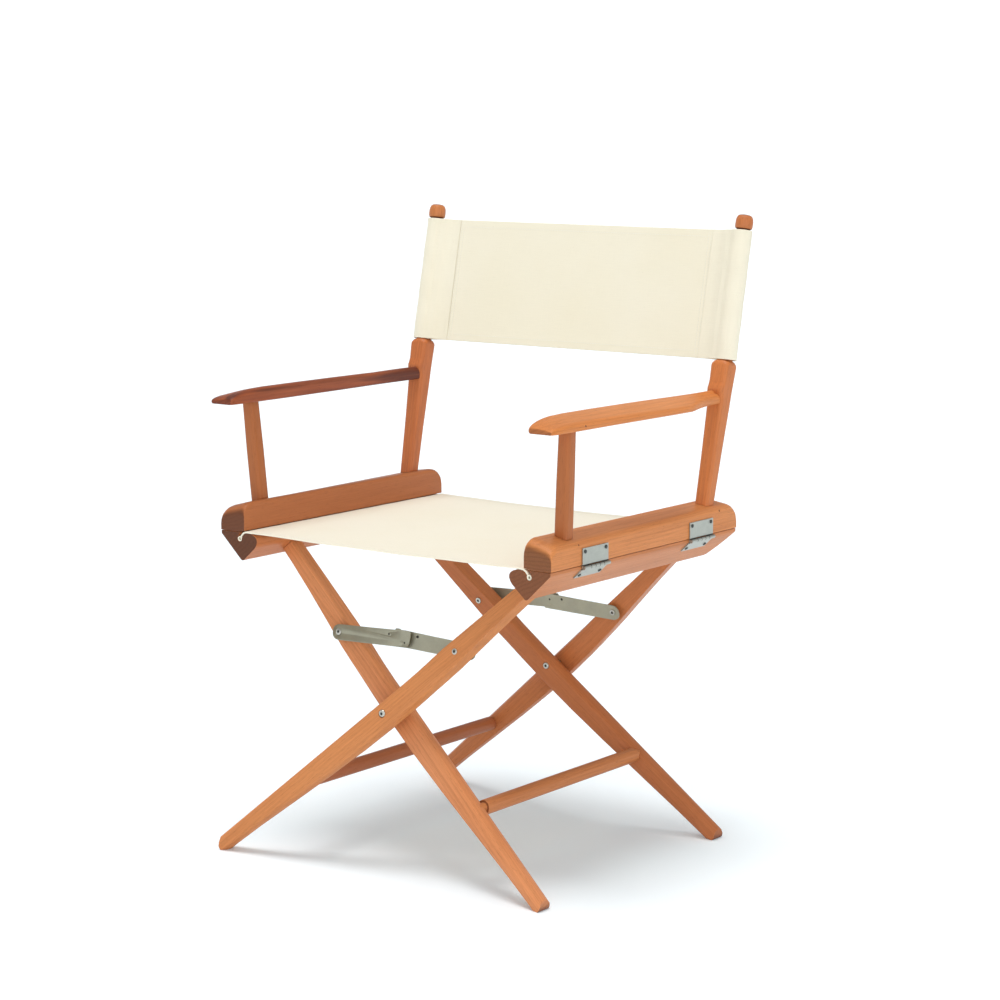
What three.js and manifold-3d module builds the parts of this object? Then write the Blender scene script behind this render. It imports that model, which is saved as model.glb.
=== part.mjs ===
// Folding armchair of the director's-chair kind: two crossed wooden leg frames, hinged arm frames,
// steel toggle braces and a canvas seat and back. Millimetres, +Z up, front faces -Y, feet at z = 0,
// origin on the floor at the centre of the bounding box.
import * as THREE from "three";
import { mergeVertices } from "three/addons/utils/BufferGeometryUtils.js";
import Module from "manifold-3d";

const wasm = await Module();
wasm.setup();

// ---------- named sizes ----------
const GAP = 0.3; // clearance between pieces that touch
const SHIFT_Y = -4; // puts the bounding box centre on the origin

// leg frames
const SPLAY = 0.18; // run of the leg planes per unit of height, feet outwards
const LEG_T = 24; // leg thickness
const GAP_F = 10, GAP_R = 7.5; // space between the two legs of the front pair and of the rear pair
const PIVOT_Z = 222; // height of the crossing bolts
const LEG_Y = 212.8; // outer face of the outer leg at the pivot, from the centre
const LEG_SLOPE = 0.8637; // rise of a leg's straight upper edge, in the leg's plane
const LEG_EDGE = 16; // pivot to the upper edge
const FOOT_X = 260.8; // outer end of a foot
const LEG_WIDTHS = [
  [-352, 20.8], [-322, 20.8], [-270, 23.1], [-200, 27.6], [-125, 32.3], [-60, 35.2], [0, 36.2], [50, 35.2],
  [78, 33.8], [104, 31.9], [130, 29.7], [180, 25.4], [230, 21.6], [280, 18.9], [318, 18],
];
const LEG_ROUND = [[-352, 8.2], [50, 8.2], [78, 7.2], [104, 4.4], [130, 1.6], [150, 1.2], [318, 1.2]];
const STRETCHER = { x: 137.9, z: 108.1, r: 10.3, tenonR: 7, tenonL: 13 };

// rails
const RAIL_Y0 = -217.5, RAIL_Y1 = 217;
const RAIL_X = 278; // outer face of the upper rail
const RAIL_SPLIT = 441; // height of the joint between lower and upper rail
const RAIL_TOP = 481;
const ROD = { x: 244, z: 431.9, r: 2.0 };

// hinges between lower and upper rail
const HINGE = { x: 281.4, z: 438.6, r: 2.7, pin: 1.2, bore: 1.5, half: 28.5, y: [-123, 126], top: 463.5 };

// braces
const BRACE = { x: 108.8, z: 316.6, t: 1.4, gap: 3.8, rivet: 2 };

// arm frames
const POST_F = { base: [256.9, -161.3, 481.3], top: [266.3, -167.3, 615.7], h0: 9.9, h1: 9.1 };
const POST_B = { base: [257.4, 167.4, 480], top: [265.4, 247.6, 857.4] };

// canvas
const SEAT = { z: 441.75, t: 1.2, y0: -214.5, y1: 214.5 };
const BACK = { s0: 196.6, s1: 374.2, t: 1.4 };

// ---------- materials ----------
const WOOD = 0xc88250, WOOD_DARK = 0xa86a3e, CANVAS = 0xf3edda, STEEL = 0x9b9884, ZINC = 0xb2b6b2;
function material(color, roughness, metalness) {
  return new THREE.MeshStandardMaterial({ color, roughness, metalness });
}

// ---------- helpers ----------
const root = new THREE.Group();
root.name = "folding_chair";
const V3 = (x, y, z) => new THREE.Vector3(x, y, z);

function toSolid(geometry) {
  const g = geometry.index ? geometry.toNonIndexed() : geometry;
  const bare = new THREE.BufferGeometry().setAttribute("position", g.getAttribute("position"));
  const merged = mergeVertices(bare, 1e-4);
  const triVerts = new Uint32Array(merged.index.array);
  const p = merged.attributes.position.array;
  let vol = 0;
  for (let i = 0; i < triVerts.length; i += 3) {
    const a = triVerts[i] * 3, b = triVerts[i + 1] * 3, c = triVerts[i + 2] * 3;
    vol += p[a] * (p[b + 1] * p[c + 2] - p[b + 2] * p[c + 1]) - p[a + 1] * (p[b] * p[c + 2] - p[b + 2] * p[c]) + p[a + 2] * (p[b] * p[c + 1] - p[b + 1] * p[c]);
  }
  if (vol < 0) for (let i = 0; i < triVerts.length; i += 3) [triVerts[i + 1], triVerts[i + 2]] = [triVerts[i + 2], triVerts[i + 1]];
  return new wasm.Manifold(new wasm.Mesh({ numProp: 3, vertProperties: p, triVerts }));
}
function toGeometry(solid) {
  const m = solid.getMesh(), n = m.numProp;
  const v = new Float32Array(m.numVert * 3);
  for (let i = 0; i < m.numVert; i++) v.set(m.vertProperties.subarray(i * n, i * n + 3), i * 3);
  return new THREE.BufferGeometry().setAttribute("position", new THREE.BufferAttribute(v, 3)).setIndex(new THREE.BufferAttribute(m.triVerts, 1));
}
const union = (...s) => s.reduce((a, b) => a.add(b));
const cut = (a, ...s) => s.reduce((x, b) => x.subtract(b), a);

// A flat outline [u, v] extruded by depth along w, placed at origin in the frame u, v, w.
function prism(points, u, v, w, origin, depth) {
  const shape = new THREE.Shape(points.map(([a, b]) => new THREE.Vector2(a, b)));
  const g = new THREE.ExtrudeGeometry(shape, { depth, bevelEnabled: false, curveSegments: 8 });
  const m = new THREE.Matrix4().makeBasis(u, v, w).setPosition(origin);
  return toSolid(g.applyMatrix4(m));
}
const X = V3(1, 0, 0), Y = V3(0, 1, 0), Z = V3(0, 0, 1);
// outline in x and z, extruded from y0 to y1
const alongY = (points, y0, y1) => prism(points, X, Z, V3(0, -1, 0), V3(0, y1, 0), y1 - y0);
// outline in y and z, extruded from x0 to x1
const alongX = (points, x0, x1) => prism(points, Y, Z, X, V3(x0, 0, 0), x1 - x0);

// A turned piece: profile of [radius, distance] pairs, from axis to axis, about dir through base.
function turned(profile, base, dir, segments = 16) {
  const g = new THREE.LatheGeometry(profile.map(([r, y]) => new THREE.Vector2(r, y)), segments);
  const q = new THREE.Quaternion().setFromUnitVectors(Y, dir.clone().normalize());
  g.applyQuaternion(q).translate(base.x, base.y, base.z);
  return toSolid(g);
}
const rod = (r, base, dir, l0, l1, segments = 16) => turned([[0, l0], [r, l0], [r, l1], [0, l1]], base, dir, segments);

// A closed skin through rings of points, all with the same count, with flat ends.
function loft(rings) {
  const n = rings[0].length, p = [], idx = [];
  rings.forEach((r) => r.forEach((q) => p.push(q.x, q.y, q.z)));
  for (let i = 0; i + 1 < rings.length; i++)
    for (let j = 0; j < n; j++) {
      const a = i * n + j, b = i * n + ((j + 1) % n), c = a + n, d = b + n;
      idx.push(a, b, d, a, d, c);
    }
  const last = (rings.length - 1) * n;
  for (let j = 1; j + 1 < n; j++) {
    idx.push(0, j + 1, j);
    idx.push(last, last + j, last + j + 1);
  }
  const g = new THREE.BufferGeometry().setAttribute("position", new THREE.Float32BufferAttribute(p, 3)).setIndex(idx);
  return toSolid(g);
}
// A rectangle u0..u1 by v0..v1 with rounded corners, 4 * (steps + 1) points.
function rounded(u0, u1, v0, v1, r, steps = 3) {
  const out = [];
  const k = Math.min(r, (u1 - u0) * 0.49, (v1 - v0) * 0.49);
  [[u1 - k, v1 - k, 0], [u0 + k, v1 - k, 1], [u0 + k, v0 + k, 2], [u1 - k, v0 + k, 3]].forEach(([cu, cv, q]) => {
    for (let i = 0; i <= steps; i++) {
      const t = (q + i / steps) * (Math.PI / 2);
      out.push([cu + k * Math.cos(t), cv + k * Math.sin(t)]);
    }
  });
  return out;
}
function table(rows, x) {
  if (x <= rows[0][0]) return rows[0][1];
  for (let i = 1; i < rows.length; i++)
    if (x <= rows[i][0]) {
      const [a, fa] = rows[i - 1], [b, fb] = rows[i];
      return fa + ((fb - fa) * (x - a)) / (b - a);
    }
  return rows[rows.length - 1][1];
}
const mirror = (s, ax) => s.mirror(ax === "x" ? [1, 0, 0] : [0, 1, 0]);

function add(name, solid, color, roughness = 0.5, metalness = 0) {
  const mesh = new THREE.Mesh(toGeometry(solid).translate(0, SHIFT_Y, 0), material(color, roughness, metalness));
  mesh.name = name;
  root.add(mesh);
  return mesh;
}

// ---------- leg planes ----------
// Front legs lie in planes that lean back towards the top. up runs in the plane, inn is its normal, into the chair.
const TILT = Math.atan(SPLAY);
const UP = V3(0, Math.sin(TILT), Math.cos(TILT));
const INN = V3(0, Math.cos(TILT), -Math.sin(TILT));
const PIVOT_F = V3(0, -LEG_Y, PIVOT_Z);
// point in the front outer leg's plane: x across, h above the pivot in the plane, d into the chair
const at = (x, h, d) => V3(x, 0, 0).addScaledVector(UP, h).addScaledVector(INN, d).add(PIVOT_F);
const hAt = (z) => (z - PIVOT_Z) / Math.cos(TILT);

// ---------- legs ----------
const A = Math.atan(LEG_SLOPE);
const DX = Math.cos(A), DH = Math.sin(A);
function legBlank(d0, inflate = 0) {
  const stations = LEG_WIDTHS.map((w) => w[0]);
  const rings = stations.map((a) => {
    const w = table(LEG_WIDTHS, a), r = table(LEG_ROUND, a);
    return rounded(-inflate, w + inflate, d0 - inflate, d0 + LEG_T + inflate, r, 2).map(([b, c]) =>
      at(-LEG_EDGE * DH + a * DX + b * DH, LEG_EDGE * DX + a * DH - b * DX, c));
  });
  return loft(rings);
}
// the feet: end cut, softened corners and a small flat on the floor
const footTrim = alongY([
  [-FOOT_X, 17], [-FOOT_X, 6], [-FOOT_X + 0.9, 2.6], [-FOOT_X + 2.6, 0], [400, 0], [400, 600], [-200, 600],
  [-FOOT_X + 12, 40], [-FOOT_X + 5.5, 26.5], [-FOOT_X + 1.6, 21.5],
], -400, 0);

const SLOPE_A = [242.4, 403.7], SLOPE_B = [276.6, 436.2];
const RAIL_LOWER = [
  [277, 440.7], [242.6, 440.7], [244.9, 438.5], [247.1, 435.3], [248, 431.9], [247.4, 429.7], [246, 428.2], [244, 427.6],
  [242, 428.2], [240.6, 429.7], [240, 431.9], [239, 434.9], [236.7, 437.9], [234, 439.9], [230, 440.7], [224, 440.3],
  [218.4, 438.4], [214.5, 435.6], [212.8, 432.4], [212.8, 429.2], [214.4, 424.8], [217.4, 420.6], [234.4, 405.6],
  [236.7, 403.3], [239.5, 402.3], SLOPE_A, SLOPE_B, [277, 437.4],
];
// the same section a little larger, slot filled in, for trimming the leg tops
const RAIL_TRIM = [
  [277.4, 441.1], [230, 441.1], [224, 440.7], [218.2, 438.8], [214.2, 435.9], [212.4, 432.5], [212.4, 429.1], [214.0, 424.6],
  [217.1, 420.3], [234.1, 405.3], [236.4, 402.9], [239.5, 401.9], [242.7, 403.4], [277.2, 436.2],
];
const railTrim = alongY(RAIL_TRIM, -300, 300);
const farSide = alongY([[239.5, 380], [400, 380], [400, 520], [225, 520], [225, 441], [239.5, 430]], -300, 300);

const boltHole = (x, z, r) => rod(r, V3(x, -400, z), Y, 0, 800, 12);
const normalHole = (x, z, r) => rod(r, at(x, hAt(z), -30), INN, 0, 120, 10);
const yFace = (d) => -LEG_Y + d / Math.cos(TILT); // where a leg face meets the pivot axis
const SPOT = 1.35; // depth of the flat seats under the pivot bolt's head and nut
const stretcherHole = rod(STRETCHER.tenonR + GAP, V3(-STRETCHER.x, 0, STRETCHER.z), Y, -260, 0, 16);

const HEAD_R = 5.2, NUT_R = 4.6;
// mortises are blind: they stop inside the leg
const mortiseZone = (d1) => prism([[-400, -300], [400, -300], [400, 300], [-400, 300]], X, UP, V3(0, -Math.cos(TILT), Math.sin(TILT)), at(0, 0, 200), 200 - d1);
const mortise = (dInner) => stretcherHole.intersect(mortiseZone(dInner - STRETCHER.tenonL - 1));
// outer front leg, foot at -x, top under the right rail
const legA = cut(
  legBlank(0).intersect(footTrim), railTrim, farSide, boltHole(0, PIVOT_Z, 3.4), normalHole(BRACE.x, BRACE.z, 2.8),
  rod(HEAD_R + 0.5, V3(0, yFace(0) - 20, PIVOT_Z), Y, 0, 20 + SPOT, 12),
  mortise(LEG_T),
);
// inner leg of a front pair, foot at +x
function innerLeg(gap) {
  const d0 = LEG_T + gap, d1 = d0 + LEG_T;
  return mirror(cut(
    legBlank(d0).intersect(footTrim), railTrim, farSide, boltHole(0, PIVOT_Z, 3.4), normalHole(BRACE.x, BRACE.z, 2.8),
    rod(NUT_R + 0.5, V3(0, yFace(d1) - SPOT, PIVOT_Z), Y, 0, 30, 12),
    mortise(d1),
  ), "x");
}
add("leg_front_outer", legA, WOOD);
add("leg_front_inner", innerLeg(GAP_F), WOOD);
add("leg_rear_outer", mirror(legA, "y"), WOOD);
add("leg_rear_inner", mirror(innerLeg(GAP_R), "y"), WOOD);

// ---------- stretchers ----------
function stretcher(dFront, dRear) {
  const shoulder = rod(STRETCHER.r, V3(-STRETCHER.x, 0, STRETCHER.z), Y, -300, 300, 16);
  const slab = (d) => prism([[-400, -300], [400, -300], [400, 300], [-400, 300]], X, UP, V3(0, -Math.cos(TILT), Math.sin(TILT)), at(0, 0, d), 150);
  const body = cut(shoulder, slab(dFront + GAP), mirror(slab(dRear + GAP), "y"));
  const tenon = cut(
    rod(STRETCHER.tenonR, V3(-STRETCHER.x, 0, STRETCHER.z), Y, -300, 300, 16),
    slab(dFront - STRETCHER.tenonL), mirror(slab(dRear - STRETCHER.tenonL), "y"),
  );
  return union(body, tenon);
}
add("stretcher_left", stretcher(LEG_T, LEG_T), WOOD);
add("stretcher_right", mirror(stretcher(2 * LEG_T + GAP_F, 2 * LEG_T + GAP_R), "x"), WOOD);

// ---------- rails ----------
const lowerSide = alongX([
  [RAIL_Y0, 395], [186, 395], [193, 401.2], [200.5, 408], [207, 415.5], [212, 424], [215.6, 433], [RAIL_Y1, 441], [RAIL_Y1, 450], [RAIL_Y0, 450],
], 150, 350);
// upper rail stations: [y, inner top height, fall of the top towards the outside]
const RAIL_UPPER = [
  [RAIL_Y0, 463.5, 6], [-216.9, 468.5, 7.2], [-215, 473, 8], [-211.5, 476.8, 8.4], [-206.5, 479.6, 8.6], [-200, RAIL_TOP, 8.6],
  [194, RAIL_TOP, 4.6], [203.5, 479.4, 4.6], [210.5, 475.4, 4.4], [215.2, 469.5, 4], [RAIL_Y1, 462, 3.4],
];
const upperRing = ([y, zi, fall]) => {
  const zo = zi - fall;
  return [
    [246.2, 441.4], [277.2, 441.4], [278, 442.2], [278, zo - 7.4], [276.9, zo - 3.6], [273.8, zo - 0.6], [268.4, zo + fall * 0.2],
    [242.4, zi], [238.4, zi - 0.8], [236.3, zi - 2.8], [235.5, zi - 6], [235.5, 443.3],
  ].map(([x, z]) => V3(x, y, z));
};
// hinge screw places: [y, x, z, inward direction]
const slopeDir = V3(SLOPE_A[0] - SLOPE_B[0], 0, SLOPE_A[1] - SLOPE_B[1]).normalize();
const slopeOut = V3(-slopeDir.z, 0, slopeDir.x).multiplyScalar(-1);
if (slopeOut.x < 0) slopeOut.negate();
const onSlope = (u, off, y) => V3(SLOPE_B[0], y, SLOPE_B[1]).addScaledVector(slopeDir, u).addScaledVector(slopeOut, off);
const LEAF_T = 1.5, LEAF_OFF = GAP;
const upperScrews = (y) => [[y - HINGE.half + 5.5, 459], [y + HINGE.half - 5.5, 459]];
const lowerScrews = (y) => [y - HINGE.half + 6, y + HINGE.half - 6];
const SCREW_U = 10.5; // distance of the lower screws down the slope
let lower = alongY(RAIL_LOWER, RAIL_Y0, RAIL_Y1).intersect(lowerSide);
let upper = loft(RAIL_UPPER.map(upperRing));
for (const y of HINGE.y) {
  for (const [sy, sz] of upperScrews(y)) upper = cut(upper, rod(1.5, V3(RAIL_X + 1, sy, sz), V3(-1, 0, 0), 0, 11, 6));
  for (const sy of lowerScrews(y)) lower = cut(lower, rod(1.5, onSlope(SCREW_U, 1, sy), slopeOut.clone().negate(), 0, 10, 6));
}
add("rail_lower_right", lower, WOOD);
add("rail_lower_left", mirror(lower, "x"), WOOD);
add("rail_upper_right", upper, WOOD);
add("rail_upper_left", mirror(upper, "x"), WOOD);

// ---------- arm frames ----------
function axisLoft(base, top, stations, steps = 3) {
  // stations: [s, hx, front, back, r] with s the distance from base along the axis
  const w = V3(...top).sub(V3(...base)).normalize();
  const u = V3(1, 0, 0).addScaledVector(w, -w.x).normalize();
  const v = w.clone().cross(u); // towards the rear
  return loft(stations.map(([s, hx, f, b, r]) =>
    rounded(-hx, hx, -f, b, r, steps).map(([p, q]) => V3(...base).addScaledVector(w, s).addScaledVector(u, p).addScaledVector(v, q))));
}
const halfSpace = (z0, z1) => alongY([[-600, z0], [600, z0], [600, z1], [-600, z1]], -600, 600);
// the posts stand on the sloping top of the upper rail
const railTop = loft(RAIL_UPPER.map(upperRing)).translate([0, 0, GAP]);
const frontLen = V3(...POST_F.top).distanceTo(V3(...POST_F.base));
const postFront = axisLoft(POST_F.base, POST_F.top, [
  [-14, POST_F.h0, POST_F.h0, POST_F.h0, 5.6], [frontLen * 0.5, 9.9, 9.9, 9.9, 5.4], [frontLen + 6, POST_F.h1, POST_F.h1, POST_F.h1, 5],
]).intersect(halfSpace(469, 622)).subtract(railTop);
const S = (z) => (z - 480) / (377.4 / V3(...POST_B.top).distanceTo(V3(...POST_B.base)));
const backStations = (e = 0) => [
  [-14, 10.2 + e, 10.2 + e, 10.2 + e, 4.8], [S(545), 11.2 + e, 11.2 + e, 11.2 + e, 5], [S(612), 12.6 + e, 12.6 + e, 12.6 + e, 5.4],
  [S(620), 12.7 + e, 13.4 + e, 12.7 + e, 5.6], [S(629), 12.9 + e, 17.2 + e, 12.9 + e, 5.8], [S(633), 13 + e, 17.4 + e, 13 + e, 5.8],
  [S(637), 13.1 + e, 15.8 + e, 13.1 + e, 5.8], [S(643), 13.3 + e, 14.4 + e, 13.3 + e, 5.8], [S(664), 14 + e, 14.2 + e, 14 + e, 6],
];
const postBack = axisLoft(POST_B.base, POST_B.top, [
  ...backStations(), [S(666.5), 13.7, 13.7, 13.7, 6.8], [S(669.6), 12.4, 12.4, 12.4, 8.6], [S(671.6), 10.4, 10.4, 10.4, 10],
  [S(672), 10.1, 10.1, 10.1, 9.8], [S(846.8), 9.7, 9.7, 9.7, 9.4],
], 3).intersect(halfSpace(469, 900)).subtract(railTop);
const postTrim = axisLoft(POST_B.base, POST_B.top, backStations(0.35));
const wB = V3(...POST_B.top).sub(V3(...POST_B.base)).normalize();
const finial = turned([
  [0, S(847.6)], [9.2, S(847.6)], [11.2, S(848.5)], [12.1, S(850.5)], [12.3, S(854)], [12.2, S(858.2)], [11.5, S(862)],
  [10.2, S(864.7)], [8, S(866.4)], [4.4, S(867.1)], [0, S(867.3)],
], V3(...POST_B.base), wB, 16);

// [y, inner x, outer x, bottom z inner and outer, top z inner and outer]
const ARM = [
  [-226, 249.5, 284, 615, 615, 620.4, 619], [-224.3, 247.7, 286, 615, 615, 623.2, 621], [-218.5, 246.4, 287.4, 615, 615, 626.6, 623],
  [-208.5, 245.8, 288, 615, 615, 629.8, 624.8], [-197, 245.6, 288.1, 615, 615, 632.2, 626], [-184, 245.6, 288.2, 615, 615, 633.7, 626.8],
  [-160, 245.6, 288.2, 615, 615, 634.4, 626.9], [-100, 245.8, 288.2, 615, 615, 634.4, 626.9], [0, 248, 290, 615, 615, 633.9, 625.4],
  [60, 250, 291, 615, 615, 633.3, 624.2], [86, 250.6, 290.6, 615, 615, 633, 623.8], [102, 251, 286, 615, 615, 633, 625],
  [120, 251, 280, 615, 615, 633, 626.6], [140, 251, 274.5, 615, 615, 633, 628], [162, 250.6, 271, 615, 615, 633, 628.8],
  [200, 250, 269.6, 615, 615, 633, 629],
];
function armRing([y, x0, x1, b0, b1, t0, t1]) {
  const R = Math.min(8, (t1 - b1) * 0.62), rb = 1.8, m = (x0 + x1) / 2;
  const pts = [[x0 + rb, b0], [x1 - rb, b1], [x1, b1 + rb]];
  for (const t of [0, 30, 60, 90]) {
    const a = (t * Math.PI) / 180;
    pts.push([x1 - R + R * Math.cos(a), t1 - R + R * Math.sin(a)]);
  }
  pts.push([m, (t0 + t1) / 2 + 0.5]);
  for (const t of [90, 60, 30, 0]) {
    const a = (t * Math.PI) / 180;
    pts.push([x0 + R - R * Math.cos(a), t0 - R + R * Math.sin(a)]);
  }
  pts.push([x0, b0 + rb]);
  return pts.map(([x, z]) => V3(x, y, z));
}
const armSolid = loft(ARM.map(armRing));
const armrest = cut(armSolid, postTrim);
const postFrontCut = cut(postFront, armSolid.translate([0, 0, -GAP]));
add("post_front_right", postFrontCut, WOOD);
add("post_front_left", mirror(postFrontCut, "x"), WOOD);
add("post_back_right", postBack, WOOD_DARK);
add("post_back_left", mirror(postBack, "x"), WOOD_DARK);
add("finial_right", finial, WOOD);
add("finial_left", mirror(finial, "x"), WOOD);
add("armrest_right", armrest, WOOD);
add("armrest_left", mirror(armrest, "x"), WOOD);

// ---------- canvas ----------
function ribbon(path, t) {
  const left = [], right = [];
  path.forEach((p, i) => {
    const a = path[Math.max(0, i - 1)], b = path[Math.min(path.length - 1, i + 1)];
    const l = Math.hypot(b[0] - a[0], b[1] - a[1]);
    const n = [-(b[1] - a[1]) / l, (b[0] - a[0]) / l];
    left.push([p[0] + (n[0] * t) / 2, p[1] + (n[1] * t) / 2]);
    right.push([p[0] - (n[0] * t) / 2, p[1] - (n[1] * t) / 2]);
  });
  return [...left, ...right.reverse()];
}
const seatHalf = [[242.4, 434.1], [240.7, 436.6], [238.6, 439.1], [236.2, 440.9], [233, SEAT.z]];
const seatPath = [...seatHalf.map(([x, z]) => [x, z]), [120, SEAT.z], [0, SEAT.z], [-120, SEAT.z], ...seatHalf.map(([x, z]) => [-x, z]).reverse()];
const seatLen = SEAT.y1 - SEAT.y0;
const loopR = (sx, r, y0, l) => rod(r, V3(sx * ROD.x, y0, ROD.z), Y, 0, l, 10);
const seat = cut(
  union(alongY(ribbon(seatPath, SEAT.t), SEAT.y0, SEAT.y1), loopR(1, 3.5, SEAT.y0, seatLen), loopR(-1, 3.5, SEAT.y0, seatLen)),
  loopR(1, ROD.r + GAP, SEAT.y0 - 5, seatLen + 10), loopR(-1, ROD.r + GAP, SEAT.y0 - 5, seatLen + 10),
);
add("seat_canvas", seat, CANVAS, 0.9);
const seatRod = rod(ROD.r, V3(ROD.x, SEAT.y0 + 2, ROD.z), Y, 0, seatLen - 4, 10);
add("seat_rod_right", seatRod, STEEL, 0.45, 0.9);
add("seat_rod_left", mirror(seatRod, "x"), STEEL, 0.45, 0.9);

// back panel: flat in the plane of the two post tops, with a sleeve at each end
const lean = Math.atan2(POST_B.top[1] - POST_B.base[1], POST_B.top[2] - POST_B.base[2]);
const BW = V3(0, Math.sin(lean), Math.cos(lean));
const BV = V3(0, Math.cos(lean), -Math.sin(lean));
const sMid = (BACK.s0 + BACK.s1) / 2;
const neckX = POST_B.base[0] + wB.x * sMid;
const ellipse = (cx, rx, ry, n = 16) => Array.from({ length: n }, (_, i) => [cx + rx * Math.cos((2 * Math.PI * i) / n), ry * Math.sin((2 * Math.PI * i) / n)]);
const backBase = V3(0, POST_B.base[1] + wB.y * BACK.s0, POST_B.base[2] + wB.z * BACK.s0);
const backLen = BACK.s1 - BACK.s0;
// u = x, v = rearwards, w = u x v points down the posts, so the outline starts at the top
const backPrism = (pts, over = 0) => prism(pts, X, BV, BW.clone().negate(), backBase.clone().addScaledVector(BW, backLen + over), backLen + 2 * over);
const hem = 215, h = BACK.t / 2;
const sleeve = (s) => union(
  backPrism(ellipse(s * neckX, 15.8, 12.7)),
  backPrism([[s * 212, h], [s * hem, 1.35], [s * 234, 1.35], [s * 251, 8.8], [s * 256, 11.4], [s * 256, -11.4], [s * 251, -8.8], [s * 234, -1.35], [s * hem, -1.35], [s * 212, -h]]),
);
const bore = (s) => union(
  backPrism(ellipse(s * neckX, 14.4, 11.3), 5),
  backPrism([[s * 240, 0.4], [s * 251.6, 7.2], [s * 256, 9.6], [s * 256, -9.6], [s * 251.6, -7.2], [s * 240, -0.4]], 5),
);
const back = cut(union(backPrism([[-213, -h], [213, -h], [213, h], [-213, h]]), sleeve(1), sleeve(-1)), bore(1), bore(-1));
add("back_canvas", back, CANVAS, 0.9);

// ---------- pivot bolts, along Y ----------
function pivotBolt(gap) {
  const yHead = yFace(0) + SPOT; // seat of the head
  const yNut = yFace(2 * LEG_T + gap) - SPOT; // seat of the nut
  return turned([
    [0, yHead - 2.4], [2.2, yHead - 2.4], [4.4, yHead - 1.9], [HEAD_R, yHead - 0.9], [HEAD_R, yHead - GAP * 0.7], [3, yHead - GAP * 0.7],
    [3, yNut + 0.2], [NUT_R, yNut + 0.2], [NUT_R, yNut + 1.5], [NUT_R - 0.7, yNut + 2.1], [0, yNut + 2.1],
  ], V3(0, 0, PIVOT_Z), Y, 12);
}
add("pivot_bolt_front", pivotBolt(GAP_F), STEEL, 0.4, 0.9);
add("pivot_bolt_rear", mirror(pivotBolt(GAP_R), "y"), STEEL, 0.4, 0.9);

// ---------- toggle braces ----------
// Each brace has an outer link on the inner leg and an inner link on the outer leg, in the gap between the leg planes.
// The links are set a little past straight: the middle rivet sits below the line of the end bolts.
const hB = hAt(BRACE.z);
const LINK = [ // half of a brace from its end bolt to the middle: [distance along, lower edge, upper edge]
  [-10.6, -2.2, 1.2], [-9.6, -6, 4.6], [-7.4, -8.6, 7.4], [-4, -10.6, 9.3], [0, -11.2, 10.1], [60, -9.3, 12.5], [96, -8.1, 14.2], [BRACE.x, -7.8, 14.8],
];
const linkOutline = () => {
  const end = [[BRACE.x + 8.5, -7.4], [BRACE.x + 11.4, -4.4], [BRACE.x + 13, 0], [BRACE.x + 13.6, 6], [BRACE.x + 13.2, 12.6], [BRACE.x + 11.6, 14.6]];
  return [...LINK.map(([u, a]) => [u, a]), ...end, ...LINK.slice().reverse().map(([u, , b]) => [u, b])].map(([u, v]) => [u - BRACE.x, hB + v]);
};
const linkPrism = (pts, d0) => prism(pts, X, UP, V3(0, -Math.cos(TILT), Math.sin(TILT)), at(0, 0, d0 + BRACE.t), BRACE.t);
const stub = (x, dh, r, d0, d1) => turned([[0, 0], [r, 0], [r, d1 - d0 - 0.5], [r * 0.6, d1 - d0], [0, d1 - d0]], at(x, hB + dh, d0), INN, 10);
const stubOut = (x, dh, r, d1, d0) => turned([[0, 0], [r, 0], [r, d1 - d0 - 0.5], [r * 0.6, d1 - d0], [0, d1 - d0]], at(x, hB + dh, d1), INN.clone().negate(), 10);
const bolt = (prof, x) => turned(prof, at(x, hB, 0), INN, 10);
function brace(gap) {
  const slack = gap - 2 * BRACE.t - BRACE.gap, t = BRACE.t;
  const l1 = LEG_T + slack / 2, l2 = l1 + t + BRACE.gap; // start of the outer and of the inner link
  const dB = LEG_T + gap; // outer face of the inner leg
  // outer link: pinned to the inner leg at -x, carries the head of the middle rivet, a stub and the stop tab
  const outer = cut(
    union(
      linkPrism(linkOutline(), l1),
      stubOut(0, -BRACE.rivet, 3.2, l1 + 0.6, l1 - 0.9),
      stubOut(-20.5, 7.4, 2.5, l1 + 0.6, l1 - 0.9),
      linkPrism([[-12.5, hB + 12], [-4, hB + 12], [-4, hB + 15.6], [-5.2, hB + 16.4], [-11.2, hB + 16.4], [-12.5, hB + 15.4]], l1),
    ),
    normalHole(-BRACE.x, BRACE.z, 2.8),
  );
  // inner link: pinned to the outer leg at +x, carries the tail of the middle rivet and a second stub
  const inner = cut(
    union(
      linkPrism(linkOutline().map(([x, y]) => [-x, y]), l2),
      stub(0, -BRACE.rivet, 3.2, l2 + 0.6, l2 + t + 0.9),
      stubOut(20.5, 7.4, 2.5, l2 + 0.6, l2 - 0.8),
    ),
    normalHole(BRACE.x, BRACE.z, 2.8),
  );
  // end bolts with spacers, measured along the leg normal from the face of the outer leg
  const innerBolt = bolt([
    [0, -1.5], [2.4, -1.5], [4, -0.9], [4.3, -GAP], [2.4, -GAP], [2.4, LEG_T + GAP], [5.4, LEG_T + GAP], [5.4, l2 - GAP], [2.4, l2 - GAP],
    [2.4, l2 + t + GAP], [4.4, l2 + t + GAP], [4.2, l2 + t + 1.2], [0, l2 + t + 1.5],
  ], BRACE.x);
  const outerBolt = bolt([
    [0, l1 - 1.6], [2.6, l1 - 1.6], [4.4, l1 - 1.1], [4.8, l1 - GAP], [2.4, l1 - GAP],
    [2.4, l1 + t + GAP], [5.4, l1 + t + GAP], [5.4, dB - GAP], [2.4, dB - GAP],
    [2.4, dB + LEG_T + GAP], [4.6, dB + LEG_T + GAP], [4.4, dB + LEG_T + 1.6], [0, dB + LEG_T + 2],
  ], -BRACE.x);
  return { outer, inner, outerBolt, innerBolt };
}
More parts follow.
